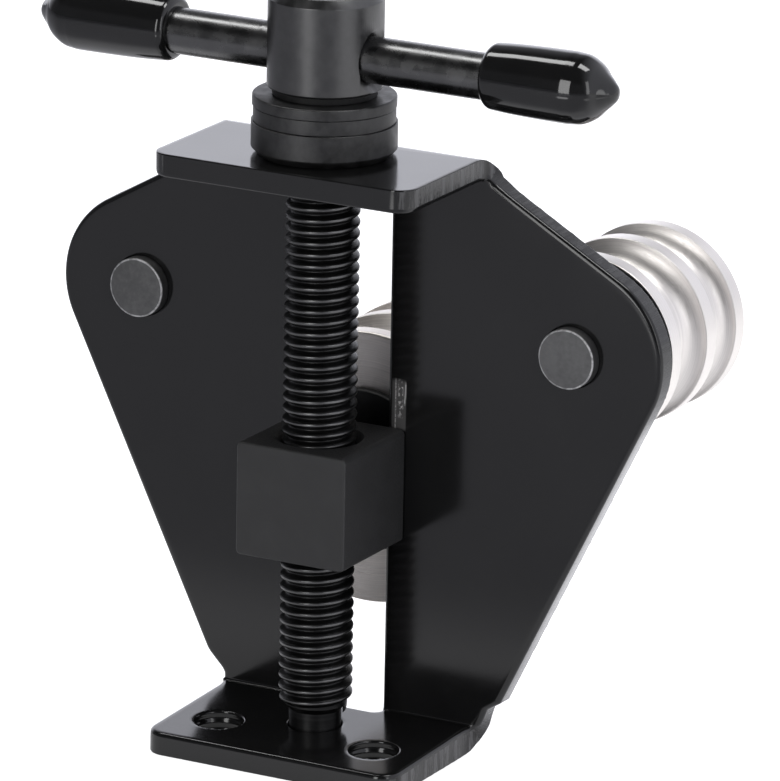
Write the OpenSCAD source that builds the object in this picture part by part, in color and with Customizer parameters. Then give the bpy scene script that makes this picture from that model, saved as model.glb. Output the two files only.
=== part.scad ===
// Brake pipe bender: a bent steel frame, a lead screw with a T-handle, a nut
// block that carries a grooved former behind the plate, and two grooved rollers.
// Units are millimetres. The base is z = 0, the front is -Y, and the origin is
// midway between the two bench holes on the underside of the frame.

/* [Frame] */
// Thickness of the folded sheet
sheet_t = 2.5; // [2:0.1:4]
// Height from the underside of the base to the top of the upper flange
frame_h = 66.7; // [60:0.1:80]
// Width of the upper flange
flange_w = 31; // [28:0.1:40]
// Width of the lower flange
base_w = 30.4; // [28:0.1:40]
// Screw axis to the front face of the plate
screw_to_plate = 7.13; // [6.6:0.01:9]
// Screw axis to the front edge of the upper flange
top_reach = 10; // [8.5:0.1:14]
// Screw axis to the front edge of the lower flange
base_reach = 10.8; // [9:0.1:16]
// Inner radius of the two folds
fold_r = 0.5; // [0.2:0.1:1.2]
// Outer radius of the upper fold, where the bent sheet is a little thinner
top_fold_outer_r = 3.4; // [3.1:0.1:5]
// Outer radius of the lower fold
base_fold_outer_r = 4.2; // [3.2:0.1:5]
// Radius of the front corners of the flanges
flange_corner_r = 2.2; // [0.5:0.1:4]
// Metal left around each roller pin, from the pin axis
shoulder_r = 10.25; // [8:0.05:13]
// Half width of the plate where its slanted sides end above the base
foot_half = 18.1; // [16.8:0.1:20]
// Height at which the slanted sides end
foot_z = 6.2; // [5.6:0.1:10]
// How far the punched outline of the plate sits to the right of the pin holes
plate_shift = 0.5; // [-0.6:0.1:0.6]
// Width of the guide slot
slot_w = 8.8; // [7:0.05:11]
// How far the guide slot runs past the plate's front face, through the lower fold
slot_tail = 1; // [0.6:0.1:2.5]
// Radius in the corners of the guide slot
slot_corner_r = 1; // [0.4:0.1:2]
// Diameter of the two bench holes
bench_hole_d = 6; // [4:0.1:7]
// Spacing of the two bench holes
bench_hole_gap = 19.1; // [16:0.1:22]
// Bench hole line to the screw axis
bench_hole_back = 4.2; // [3:0.1:5]

/* [Screw] */
// Major diameter of the lead screw
screw_d = 8; // [6:0.1:9]
// Thread pitch
pitch = 1.25; // [1:0.05:1.5]
// Diameter of the plain journal at the foot of the screw
foot_journal_d = 5.7; // [4.5:0.1:6]
// Bare journal between the base and the first thread
foot_gap = 2.8; // [1.5:0.1:5]
// Diameter of the screw end inside the handle hub
top_journal_d = 6.6; // [5.6:0.1:7]

/* [Thrust washers] */
// Diameter of the lower washer
lower_washer_d = 15.6; // [13:0.1:18]
// Thickness of the lower washer
lower_washer_t = 3.6; // [2:0.05:5]
// Bevel under the lower washer
lower_washer_bevel = 0.9; // [0.2:0.05:1.2]
// Diameter of the middle washer
middle_washer_d = 15.2; // [13:0.1:18]
// Thickness of the middle washer
middle_washer_t = 1.65; // [1:0.05:3]
// Diameter of the upper washer
upper_washer_d = 15.4; // [13:0.1:18]
// Thickness of the upper washer
upper_washer_t = 1.2; // [0.8:0.05:3]

/* [Handle] */
// Diameter of the hub
hub_d = 12.4; // [11.8:0.1:16]
// Height of the hub above its bearing boss
hub_h = 10.6; // [9:0.1:16]
// Thickness of the hub above the end of the screw
hub_roof = 2; // [1.5:0.1:4]
// Chamfer around the top of the hub
hub_chamfer = 0.9; // [0.3:0.1:1.5]
// Height of the smaller boss under the hub
boss_h = 0.8; // [0.6:0.1:2]
// Diameter of the boss under the hub
boss_d = 11.2; // [8.6:0.1:11.4]
// Diameter of the cross bar
bar_d = 5; // [4:0.1:5.5]
// Length of the cross bar
bar_len = 63.4; // [50:0.1:120]
// Bar axis above the underside of the hub
bar_up = 3.6; // [3.4:0.05:5]
// Outside diameter of the vinyl grips
grip_d = 7.7; // [7:0.1:12]
// Length of the left grip with its tip
grip_left_len = 16.7; // [10:0.1:24]
// Length of the right grip with its tip
grip_right_len = 15; // [10:0.1:24]
// Length of the tapered tip past the end of the bar
grip_tip = 3; // [2.8:0.1:4]

/* [Nut block] */
// Width of the block
block_w = 13.2; // [12:0.1:16]
// Height of the block
block_h = 12.6; // [12:0.1:18]
// Screw axis to the front face of the block
block_front = 6.35; // [5.5:0.05:8]
// Height of the block centre in the pose shown
block_z = 28.97; // [24:0.1:32]
// Radius on the long edges of the block
block_edge_r = 0.6; // [0.2:0.1:1.5]
// Mouth diameter of the countersink at each end of the threaded hole
block_mouth_d = 9.4; // [9.2:0.1:10.5]

/* [Rollers and former] */
// Distance between the two roller pins
pin_span = 52.6; // [51.9:0.1:60]
// Height of the roller pins
pin_z = 46.4; // [44:0.1:48]
// Diameter of the roller pins
pin_d = 6.6; // [5:0.1:8]
// Length of pin that stands proud of the front face
pin_proud = 1.25; // [0.3:0.05:2]
// Diameter of the side rollers
roller_d = 20.45; // [18:0.05:21.4]
// Diameter of the central former
former_d = 30.4; // [26:0.1:30.8]
// Larger pipe diameter
wide_pipe_d = 6.1; // [5:0.05:6.4]
// Smaller pipe diameter
narrow_pipe_d = 4.75; // [4:0.05:5]
// Width of the rims beside the grooves
rim_w = 2.05; // [1:0.05:2.5]
// How far a groove stays short of half round
groove_lift = 0.25; // [0.1:0.05:0.6]
// Edge break on rollers and former
edge_break = 0.25; // [0.1:0.05:0.5]
// Thickness of the spacers between plate and rollers
spacer_t = 1.15; // [0.6:0.05:2]
// Diameter of the roller spacers
spacer_d = 13; // [10:0.1:16]
// Diameter of the guide washer behind the slot
guide_washer_d = 18; // [15:0.1:22]

/* [Retaining clips] */
// Thickness of the retaining clips
clip_t = 0.8; // [0.6:0.05:1.2]
// Depth of the clip grooves
clip_groove = 0.3; // [0.2:0.05:0.5]
// Radial width of a clip
clip_w = 1.3; // [1:0.05:1.8]
// Pin left past a clip
clip_end = 0.7; // [0.5:0.05:1.5]

/* [Clearances] */
// Radial clearance of every turning fit
run_gap = 0.05; // [0.02:0.01:0.1]
// End float of the rollers and former
float_gap = 0.1; // [0.05:0.01:0.3]
// Gap between the block and the plate
slide_gap = 0.06; // [0.03:0.01:0.2]

/* [Hidden] */
$fn = 96;
eps = 0.01;
screw_y = bench_hole_back;
screw_r = screw_d / 2;
plate_y = screw_y + screw_to_plate;
plate_back = plate_y + sheet_t;
flange_half = flange_w / 2;
base_half = base_w / 2;
pin_x = pin_span / 2;
shelf_z = frame_h - sheet_t;
slot_low = -slot_corner_r - 1;
slot_high = shelf_z - fold_r - 0.1;
roller_y = plate_back + spacer_t + float_gap / 2;
wide_r = wide_pipe_d / 2 + 0.05;
narrow_r = narrow_pipe_d / 2 + 0.05;
roller_w = 3 * rim_w + 2 * wide_r + 2 * narrow_r;
roller_back = roller_y + roller_w;
clip_y = roller_back + float_gap;
tongue_d = slot_w - 2 * run_gap;
axle_d = tongue_d - 0.3;
lower_top = frame_h + lower_washer_t;
middle_top = lower_top + middle_washer_t;
stack_top = middle_top + upper_washer_t;
hub_z = stack_top + boss_h;
hub_top = hub_z + hub_h;
bar_z = hub_z + bar_up;
screw_top = hub_top - hub_roof;
thread_low = sheet_t + foot_gap;
thread_high = shelf_z - 0.4;
thread_h = 0.6134 * pitch;
thread_turns = floor((thread_high - thread_low) / pitch);
core_r = screw_r - thread_h;
flare_r = foot_journal_d / 2 + 0.7;
flare_h = 0.9;
flare_low = 0.15;
grip_end = bar_len / 2 + grip_tip;

// Places a shape that is drawn along +Z so that it runs along +Y.
module along_y(x, y, z) {
  translate([x, y, z]) rotate([-90, 0, 0]) children();
}

// Points of an arc from one angle to another.
function arc(cx, cy, r, a0, a1, n) =
  [for (i = [0 : n]) let (a = a0 + (a1 - a0) * i / n) [cx + r * cos(a), cy + r * sin(a)]];

// Point where a line from p touches a circle about c, on the chosen side.
function touch(p, c, r, side) =
  let (d = norm(p - c), a = atan2(p[1] - c[1], p[0] - c[0]) + side * acos(r / d))
  [c[0] + r * cos(a), c[1] + r * sin(a)];

// Frame

module side_profile() {
  y0 = screw_y - top_reach;
  y1 = screw_y - base_reach;
  low_r = base_fold_outer_r;
  top_r = top_fold_outer_r;
  difference() {
    union() {
      translate([plate_y, 0]) square([sheet_t, frame_h]);
      translate([y0, shelf_z]) square([plate_y - y0 + eps, sheet_t]);
      translate([y1, 0]) square([plate_y - y1 + eps, sheet_t]);
      translate([plate_y - fold_r, sheet_t - eps]) square([fold_r + eps, fold_r + eps]);
      translate([plate_y - fold_r, shelf_z - fold_r]) square([fold_r + eps, fold_r + eps]);
    }
    translate([plate_y - fold_r, sheet_t + fold_r]) circle(r = fold_r);
    translate([plate_y - fold_r, shelf_z - fold_r]) circle(r = fold_r);
    difference() {
      translate([plate_back - low_r, -1]) square([low_r + 1, low_r + 1]);
      translate([plate_back - low_r, low_r]) circle(r = low_r);
    }
    difference() {
      translate([plate_back - top_r, frame_h - top_r]) square([top_r + 1, top_r + 1]);
      translate([plate_back - top_r, frame_h - top_r]) circle(r = top_r);
    }
  }
}

module half_outline() {
  c = [pin_x, pin_z];
  top = [flange_half, shelf_z];
  foot = [foot_half, foot_z];
  polygon([[-1, sheet_t], [base_half + 0.2, sheet_t], [base_half + 0.4, sheet_t + 1],
    [base_half + 1.2, foot_z - 1], foot,
    touch(foot, c, shoulder_r, 1), c, touch(top, c, shoulder_r, -1),
    top, [-1, shelf_z]]);
  translate(c) circle(r = shoulder_r);
}

module front_outline() {
  translate([plate_shift, 0]) {
    half_outline();
    mirror([1, 0]) half_outline();
  }
  translate([-base_half, 0]) square([base_w, sheet_t + 0.5]);
  translate([-flange_half, shelf_z - 0.5]) square([flange_w, sheet_t + 0.5]);
}

module slot_outline() {
  h = slot_high - slot_low;
  r = slot_corner_r;
  translate([-slot_w / 2, slot_low + r]) square([slot_w, h - 2 * r]);
  translate([-slot_w / 2 + r, slot_low]) square([slot_w - 2 * r, h]);
  for (x = [-slot_w / 2 + r, slot_w / 2 - r], z = [slot_low + r, slot_high - r])
    translate([x, z]) circle(r = r);
}

module flange_corner(side, half, y, z) {
  r = flange_corner_r;
  translate([side * (half - r), y + r, z - 1])
    linear_extrude(height = sheet_t + 2)
      difference() {
        translate([side > 0 ? 0 : -r - 1, -r - 1]) square([r + 1, r + 1]);
        circle(r = r);
      }
}

module frame() {
  color([0.13, 0.13, 0.14])
  difference() {
    intersection() {
      rotate([90, 0, 90])
        linear_extrude(height = pin_span + flange_w + 2 * shoulder_r, center = true) side_profile();
      rotate([90, 0, 0])
        linear_extrude(height = 4 * (plate_back + base_reach), center = true) front_outline();
    }
    for (side = [-1, 1]) {
      flange_corner(side, flange_half, screw_y - top_reach, shelf_z);
      flange_corner(side, base_half, screw_y - base_reach, 0);
      along_y(side * pin_x, plate_y - 1, pin_z) cylinder(d = pin_d, h = sheet_t + 2);
      translate([side * bench_hole_gap / 2, 0, -1]) cylinder(d = bench_hole_d, h = sheet_t + 2);
    }
    translate([0, plate_back + 1, 0]) rotate([90, 0, 0])
      linear_extrude(height = sheet_t + 1 + slot_tail) slot_outline();
    translate([0, screw_y, shelf_z - 1]) cylinder(r = screw_r + run_gap, h = sheet_t + 2);
    translate([0, screw_y, -1]) cylinder(r = foot_journal_d / 2 + run_gap, h = sheet_t + 2);
    translate([0, screw_y, -eps])
      cylinder(r1 = flare_r + 0.15, r2 = foot_journal_d / 2 + run_gap,
        h = flare_low + flare_h + 0.25);
  }
}

// Lead screw

module thread_profile() {
  flank = 0.36 * pitch;
  crest = 0.14 * pitch;
  top = thread_low + thread_turns * pitch;
  polygon(concat(
    [[0, flare_low], [flare_r, flare_low],
     [foot_journal_d / 2, flare_low + flare_h], [foot_journal_d / 2, thread_low],
     [core_r, thread_low]],
    [for (i = [0 : thread_turns - 1], p = [[core_r, 0.07 * pitch], [screw_r, 0.07 * pitch + flank],
      [screw_r, 0.07 * pitch + flank + crest], [core_r, 0.93 * pitch]])
      [p[0], thread_low + i * pitch + p[1]]],
    [[core_r, top], [screw_r, top], [screw_r, stack_top],
     [top_journal_d / 2, stack_top], [top_journal_d / 2, screw_top], [0, screw_top]]));
}

module lead_screw() {
  color([0.2, 0.2, 0.21])
  difference() {
    translate([0, screw_y, 0]) rotate_extrude() thread_profile();
    translate([-hub_d, screw_y, bar_z]) rotate([0, 90, 0]) cylinder(d = bar_d, h = 2 * hub_d);
  }
}

// Thrust washers

module washer(d, hole_r, t, low_bevel, top_bevel) {
  r = d / 2;
  rotate_extrude()
    polygon([[hole_r, 0], [r - low_bevel, 0], [r, low_bevel],
      [r, t - top_bevel], [r - top_bevel, t], [hole_r, t]]);
}

module thrust_washer_lower() {
  color([0.33, 0.33, 0.34]) translate([0, screw_y, frame_h])
    washer(lower_washer_d, screw_r + run_gap, lower_washer_t, lower_washer_bevel, 0.15);
}

module thrust_washer_middle() {
  color([0.36, 0.36, 0.37]) translate([0, screw_y, lower_top])
    washer(middle_washer_d, screw_r + run_gap, middle_washer_t, 0.15, 0.15);
}

module thrust_washer_upper() {
  color([0.34, 0.34, 0.35]) translate([0, screw_y, middle_top])
    washer(upper_washer_d, screw_r + run_gap, upper_washer_t, 0.15, 0.3);
}

// Handle

module handle_hub() {
  r = hub_d / 2;
  mouth = 0.8;
  color([0.3, 0.3, 0.31])
  difference() {
    translate([0, screw_y, 0]) rotate_extrude()
      polygon([[top_journal_d / 2, stack_top], [boss_d / 2, stack_top], [boss_d / 2, hub_z],
        [r - 0.25, hub_z], [r, hub_z + 0.25], [r, hub_top - hub_chamfer],
        [r - hub_chamfer * 0.7, hub_top], [0, hub_top],
        [0, screw_top], [top_journal_d / 2, screw_top]]);
    translate([-hub_d, screw_y, bar_z]) rotate([0, 90, 0]) cylinder(d = bar_d, h = 2 * hub_d);
    for (side = [-1, 1])
      translate([side * (r - 1.1), screw_y, bar_z]) rotate([0, side * 90, 0])
        cylinder(r1 = bar_d / 2, r2 = bar_d / 2 + mouth + 0.3, h = 1.4);
  }
}

module handle_bar() {
  chamfer = 0.4;
  color([0.17, 0.17, 0.18])
  translate([-bar_len / 2, screw_y, bar_z]) rotate([0, 90, 0]) rotate_extrude()
    polygon([[0, 0], [bar_d / 2 - chamfer, 0], [bar_d / 2, chamfer],
      [bar_d / 2, bar_len - chamfer], [bar_d / 2 - chamfer, bar_len], [0, bar_len]]);
}

module grip(len) {
  r = grip_d / 2;
  lip = 0.9;
  hole = len - grip_tip;
  swell = [[0.965, 3], [0.99, 6]];
  nose = [[1, 5.8], [0.985, 4.7], [0.935, 3.6], [0.765, 2.4], [0.54, 1.5], [0.36, 0.75], [0.2, 0.2]];
  rotate_extrude()
    polygon(concat(
      [[bar_d / 2, 0]],
      arc(r * 0.93 - lip, lip, lip, -90, 0, 5),
      [for (p = swell) [r * p[0], p[1]]],
      [for (p = nose) [r * p[0], len - p[1]]],
      [[0, len], [0, hole], [bar_d / 2 - 0.4, hole], [bar_d / 2, hole - 0.4]]));
}

module grip_right() {
  color([0.06, 0.06, 0.07])
  translate([grip_end - grip_right_len, screw_y, bar_z]) rotate([0, 90, 0]) grip(grip_right_len);
}

module grip_left() {
  color([0.06, 0.06, 0.07])
  translate([grip_left_len - grip_end, screw_y, bar_z]) rotate([0, -90, 0]) grip(grip_left_len);
}

// Nut block with its turned axle

module block_section() {
  r = block_edge_r;
  square([block_w, block_h - 2 * r], center = true);
  square([block_w - 2 * r, block_h], center = true);
  for (x = [-1, 1], z = [-1, 1])
    translate([x * (block_w / 2 - r), z * (block_h / 2 - r)]) circle(r = r);
}

module nut_block() {
  face = plate_y - slide_gap;
  front = screw_y - block_front;
  shoulder = plate_back + slide_gap;
  groove_r = axle_d / 2 - clip_groove;
  mouth_h = (block_mouth_d - screw_d) / 2 + 0.2;
  color([0.2, 0.2, 0.2])
  difference() {
    union() {
      along_y(0, front, block_z) linear_extrude(height = face - front) block_section();
      along_y(0, 0, block_z) rotate_extrude()
        polygon([[0, face - 1], [tongue_d / 2, face - 1], [tongue_d / 2, shoulder],
          [axle_d / 2, shoulder], [axle_d / 2, clip_y], [groove_r, clip_y],
          [groove_r, clip_y + clip_t], [axle_d / 2, clip_y + clip_t],
          [axle_d / 2, clip_y + clip_t + clip_end - 0.3],
          [axle_d / 2 - 0.3, clip_y + clip_t + clip_end], [0, clip_y + clip_t + clip_end]]);
    }
    translate([0, screw_y, block_z - block_h]) cylinder(r = screw_r + run_gap, h = 2 * block_h);
    for (side = [-1, 1])
      translate([0, screw_y, block_z + side * (block_h / 2 + eps - mouth_h)])
        rotate([side > 0 ? 0 : 180, 0, 0])
          cylinder(r1 = screw_r + run_gap, r2 = block_mouth_d / 2, h = mouth_h);
  }
}

module guide_washer() {
  t = roller_y - float_gap / 2 - plate_back - slide_gap;
  color([0.1, 0.1, 0.1])
  along_y(0, plate_back + slide_gap, block_z)
    washer(guide_washer_d, axle_d / 2, t, 0.1, 0.1);
}

// Grooved wheels

module grooved_wheel(d, bore) {
  r = d / 2;
  e = edge_break;
  wide_at = rim_w + wide_r;
  narrow_at = 2 * rim_w + 2 * wide_r + narrow_r;
  rotate_extrude()
    difference() {
      polygon([[bore, 0], [r - e, 0], [r, e], [r, roller_w - e], [r - e, roller_w],
        [bore, roller_w]]);
      translate([r + groove_lift, wide_at]) circle(r = wide_r);
      translate([r + groove_lift, narrow_at]) circle(r = narrow_r);
    }
}

module former() {
  color([0.78, 0.78, 0.8])
  along_y(0, roller_y, block_z) grooved_wheel(former_d, axle_d / 2 + run_gap);
}

module roller_left() {
  color([0.78, 0.78, 0.8])
  along_y(-pin_x, roller_y, pin_z) grooved_wheel(roller_d, pin_d / 2 + run_gap);
}

module roller_right() {
  color([0.78, 0.78, 0.8])
  along_y(pin_x, roller_y, pin_z) grooved_wheel(roller_d, pin_d / 2 + run_gap);
}

// Pins, spacers and clips

module roller_pin(x) {
  r = pin_d / 2;
  groove_r = r - clip_groove;
  back = clip_y + clip_t + clip_end;
  front = plate_y - pin_proud;
  color([0.36, 0.36, 0.37])
  along_y(x, 0, pin_z) rotate_extrude()
    polygon([[0, front], [r - 0.25, front], [r, front + 0.25], [r, clip_y], [groove_r, clip_y],
      [groove_r, clip_y + clip_t], [r, clip_y + clip_t], [r, back - 0.3],
      [r - 0.3, back], [0, back]]);
}

module roller_pin_left() {
  roller_pin(-pin_x);
}

module roller_pin_right() {
  roller_pin(pin_x);
}

module roller_spacer(x) {
  color([0.3, 0.3, 0.31])
  along_y(x, plate_back, pin_z) washer(spacer_d, pin_d / 2, spacer_t, 0.1, 0.1);
}

module roller_spacer_left() {
  roller_spacer(-pin_x);
}

module roller_spacer_right() {
  roller_spacer(pin_x);
}

// Snap ring with two eyelets beside its gap.
module clip(shaft_d) {
  ri = shaft_d / 2 - clip_groove;
  ro = ri + clip_w;
  eye = 0.95;
  spread = 22;
  linear_extrude(height = clip_t)
    difference() {
      union() {
        circle(r = ro);
        for (a = [-spread, spread])
          rotate(90 + a) translate([ri + eye + 0.15, 0]) circle(r = eye, $fn = 32);
      }
      circle(r = ri);
      polygon([[0, 0], [-(ro + 2) * tan(9), ro + 2], [(ro + 2) * tan(9), ro + 2]]);
      for (a = [-spread, spread])
        rotate(90 + a) translate([ri + eye + 0.15, 0]) circle(r = 0.45, $fn = 24);
    }
}

module roller_clip_left() {
  color([0.25, 0.25, 0.26]) along_y(-pin_x, clip_y, pin_z) clip(pin_d);
}

module roller_clip_right() {
  color([0.25, 0.25, 0.26]) along_y(pin_x, clip_y, pin_z) clip(pin_d);
}

module former_clip() {
  color([0.25, 0.25, 0.26]) along_y(0, clip_y, block_z) clip(axle_d);
}

frame();
lead_screw();
handle_hub();
handle_bar();
grip_left();
grip_right();
thrust_washer_lower();
thrust_washer_middle();
thrust_washer_upper();
nut_block();
guide_washer();
former();
former_clip();
roller_left();
roller_right();
roller_pin_left();
roller_pin_right();
roller_spacer_left();
roller_spacer_right();
roller_clip_left();
roller_clip_right();
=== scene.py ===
"""Brake pipe bender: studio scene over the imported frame. Lengths before the studio are in millimetres."""
import math

import bpy
import bmesh
from mathutils import Matrix, Vector
from mathutils.geometry import delaunay_2d_cdt


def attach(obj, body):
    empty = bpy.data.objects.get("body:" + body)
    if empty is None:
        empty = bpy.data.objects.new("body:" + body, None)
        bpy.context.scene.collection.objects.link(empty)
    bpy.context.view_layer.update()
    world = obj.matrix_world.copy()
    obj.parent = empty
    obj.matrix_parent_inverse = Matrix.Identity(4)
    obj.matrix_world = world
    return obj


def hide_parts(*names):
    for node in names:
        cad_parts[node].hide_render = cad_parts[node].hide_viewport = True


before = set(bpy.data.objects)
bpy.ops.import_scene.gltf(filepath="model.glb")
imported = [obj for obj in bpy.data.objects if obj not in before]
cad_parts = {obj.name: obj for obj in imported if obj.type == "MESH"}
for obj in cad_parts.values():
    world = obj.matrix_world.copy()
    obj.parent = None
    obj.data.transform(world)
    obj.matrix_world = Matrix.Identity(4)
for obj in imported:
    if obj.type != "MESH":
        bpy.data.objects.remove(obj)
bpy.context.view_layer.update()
MM = 0.001

# Sizes of the folded sheet

SHEET = 2.5
FRAME_H = 66.7
FLANGE_HALF = 15.5
BASE_HALF = 15.2
FLANGE_CORNER = 2.2
SCREW_Y = 4.2
TOP_FRONT = SCREW_Y - 10.0
BASE_FRONT = SCREW_Y - 10.8
PLATE_Y = SCREW_Y + 7.13
PLATE_BACK = PLATE_Y + SHEET
SHELF_Z = FRAME_H - SHEET
FOLD_R = 0.25
TOP_FOLD_OUT = 3.9
BASE_FOLD_OUT = 4.2
BASE_TILT = math.tan(math.radians(2.2))
SHOULDER_R = 10.25
FOOT = (18.1, 6.2)
PLATE_SHIFT = 0.5
SLOT_HALF = 4.4
SLOT_TAIL = 1.0
SLOT_HIGH = 63.6
SLOT_CORNER = 1.0
BENCH_HOLE_X = 9.55
BENCH_HOLE_R = 2.72
RIDGE = 0.22
RIDGE_PITCH = 1.0

# Sizes of the lead screw, its washers and the handle

FIT = 0.05
SCREW_R = 4.0
PITCH = 1.25
THREAD_LOW = 5.3
THREAD_TURNS = 46
THREAD_TOP = THREAD_LOW + THREAD_TURNS * PITCH
THREAD_DEPTH = 0.62
FOOT_JOURNAL_R = 2.85
HUB_JOURNAL_R = 3.3
WASHER_T = (3.6, 1.65, 1.2)
STACK_Z = FRAME_H + sum(WASHER_T)
HUB_Z = STACK_Z + 0.8
HUB_TOP = HUB_Z + 10.6
HUB_R = 6.2
BOSS_R = 5.6
BAR_Z = HUB_Z + 3.6
BAR_R = 2.5
BAR_HALF = 31.7
GRIP_R = 3.85
GRIP_END = BAR_HALF + 3.0
GRIP_HIGH = 0.22
GRIP_LENGTHS = {"left": 16.7, "right": 15.0}

# Sizes of the nut block, the wheels and what holds them

SLIDE_GAP = 0.06
BLOCK_Z = 28.97
BLOCK_HALF_W = 6.6
BLOCK_HALF_H = 6.3
BLOCK_FRONT = SCREW_Y - 6.35
BLOCK_BACK = PLATE_Y - SLIDE_GAP
GUIDE_Y = PLATE_BACK + SLIDE_GAP
GUIDE_R = 9.0
PIN_X = 26.3
PIN_Z = 46.4
PIN_R = 3.3
PIN_PROUD = 1.25
ROLLER_SIDES = {"left": -PIN_X, "right": PIN_X}
SPACER_T = 1.15
SPACER_R = 6.5
ROLLER_Y = PLATE_BACK + SPACER_T + FIT
RIM = 2.05
ROLLER_R = 10.225
FORMER_R = 15.2
WIDE_R = 3.1
NARROW_R = 2.425
GROOVE_LIFT = 0.25
WHEEL_W = 3 * RIM + 2 * WIDE_R + 2 * NARROW_R
WHEEL_BREAK = 0.3
# How far into a roller from its face by the plate the painted shade reaches
PAINTED_SHADE_DEPTH = 0.16
TONGUE_R = SLOT_HALF - FIT
AXLE_R = TONGUE_R - 0.15
CLIP_Y = ROLLER_Y + WHEEL_W + 0.1
CLIP_T = 0.8
CLIP_BACK = CLIP_Y + CLIP_T
CLIP_GROOVE = 0.3
AXLE_END = CLIP_BACK + 0.7

# Limits of the shape helpers

TINY = 1e-6
WELD = 1e-4
STRAIGHT_RADIANS = 1.5
MOST_OF_SIDE = 0.48
SHARP_DEGREES = 35


# Flat shapes

def fillet(points, radii, steps=4):
    """An open polyline with its inner corners rounded, by one radius each."""
    out = [points[0]]
    for before, corner, after, r in zip(points, points[1:], points[2:], radii):
        p = Vector(corner)
        a = Vector(before) - p
        b = Vector(after) - p
        la = a.length
        lb = b.length
        if r <= 0 or min(la, lb) < TINY:
            out.append(corner)
            continue
        a /= la
        b /= lb
        half = math.acos(max(-1, min(1, a.dot(b)))) / 2
        if half > STRAIGHT_RADIANS:
            out.append(corner)
            continue
        trim = min(r / math.tan(half), MOST_OF_SIDE * la, MOST_OF_SIDE * lb)
        centre = p + (a + b).normalized() * (trim * math.tan(half) / math.sin(half))
        start = p + a * trim - centre
        end = p + b * trim - centre
        turn = math.atan2(start.x * end.y - start.y * end.x, start.dot(end))
        for k in range(steps + 1):
            t = turn * k / steps
            x = start.x * math.cos(t) - start.y * math.sin(t)
            y = start.x * math.sin(t) + start.y * math.cos(t)
            out.append((centre.x + x, centre.y + y))
    out.append(points[-1])
    return out


def arc(cx, cy, r, a0, a1, n):
    """Points of an arc, angles in degrees."""
    angles = [math.radians(a0 + (a1 - a0) * i / n) for i in range(n + 1)]
    return [(cx + r * math.cos(a), cy + r * math.sin(a)) for a in angles]


def circle(x, y, r, n=64):
    """Points of a full circle."""
    return arc(x, y, r, 0, 360, n)[:-1]


def rounded_box(x0, y0, x1, y1, r):
    """Points of a rectangle with round corners, counter-clockwise."""
    corners = ((x1 - r, y0 + r, -90), (x1 - r, y1 - r, 0), (x0 + r, y1 - r, 90), (x0 + r, y0 + r, 180))
    loop = []
    for cx, cy, a in corners:
        loop += arc(cx, cy, r, a, a + 90, 6)
    return loop


def quarter(width, drop, steps):
    """Insets and depths of a quarter round, from its full inset down to its side."""
    angles = [math.pi / 2 * k / steps for k in range(steps + 1)]
    return [(width * (1 - math.sin(a)), drop * (1 - math.cos(a))) for a in angles]


def touch(p, c, r, side):
    """Point where a line from p touches a circle about c, and its angle in degrees."""
    d = math.hypot(p[0] - c[0], p[1] - c[1])
    a = math.atan2(p[1] - c[1], p[0] - c[0]) + side * math.acos(r / d)
    return (c[0] + r * math.cos(a), c[1] + r * math.sin(a)), math.degrees(a)


def dense(points, step=0.5):
    """Adds points to an open polyline so that no piece is longer than a step."""
    out = [points[0]]
    for p, q in zip(points, points[1:]):
        count = max(1, math.ceil(math.dist(p, q) / step))
        out += [(p[0] + (q[0] - p[0]) * k / count, p[1] + (q[1] - p[1]) * k / count)
                for k in range(1, count + 1)]
    return out


def smooth_line(knots, steps):
    """A smooth curve through knots."""
    out = [knots[0]]
    last = len(knots) - 1
    for i in range(last):
        p = [Vector(knots[max(0, min(last, i + k))]) for k in (-1, 0, 1, 2)]
        for j in range(1, steps + 1):
            t = j / steps
            q = 0.5 * (2 * p[1] + (p[2] - p[0]) * t + (2 * p[0] - 5 * p[1] + 4 * p[2] - p[3]) * t ** 2
                       + (3 * p[1] - p[0] - 3 * p[2] + p[3]) * t ** 3)
            out.append((max(q.x, 0.0), q.y))
    return out


def inset(loop, amount):
    """Moves a counter-clockwise loop inwards by a small amount."""
    out = []
    n = len(loop)
    for i in range(n):
        before = (Vector(loop[i]) - Vector(loop[i - 1])).normalized()
        after = (Vector(loop[(i + 1) % n]) - Vector(loop[i])).normalized()
        normal = Vector((-before.y - after.y, before.x + after.x))
        size = normal.length_squared / 2
        p = Vector(loop[i]) + normal * (amount / max(size, 0.3))
        out.append((p.x, p.y))
    return out


def area(loop):
    """Signed area of a loop, positive where it runs counter-clockwise."""
    return sum(p[0] * q[1] - q[0] * p[1] for p, q in zip(loop, loop[1:] + loop[:1])) / 2


def inside(p, loop):
    """True where a point lies within a loop."""
    hit = False
    for (ax, ay), (bx, by) in zip(loop, loop[-1:] + loop[:-1]):
        if (ay > p.y) != (by > p.y) and p.x < (bx - ax) * (p.y - ay) / (by - ay) + ax:
            hit = not hit
    return hit


def ease(value, lo, hi):
    """Smooth step from 0 at lo to 1 at hi."""
    t = max(0.0, min(1.0, (value - lo) / (hi - lo)))
    return t * t * (3 - 2 * t)


# Meshes

AXES = {
    "x": Matrix(((0, 0, 1), (0, 1, 0), (-1, 0, 0))),
    "y": Matrix(((1, 0, 0), (0, 0, 1), (0, -1, 0))),
    "z": Matrix.Identity(3),
}


def weigh(obj):
    """Lets large flat faces rule the shading where they meet narrow rounded rims."""
    mod = obj.modifiers.new("weighted", "WEIGHTED_NORMAL")
    mod.keep_sharp = True
    mod.weight = 90
    return obj


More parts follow.
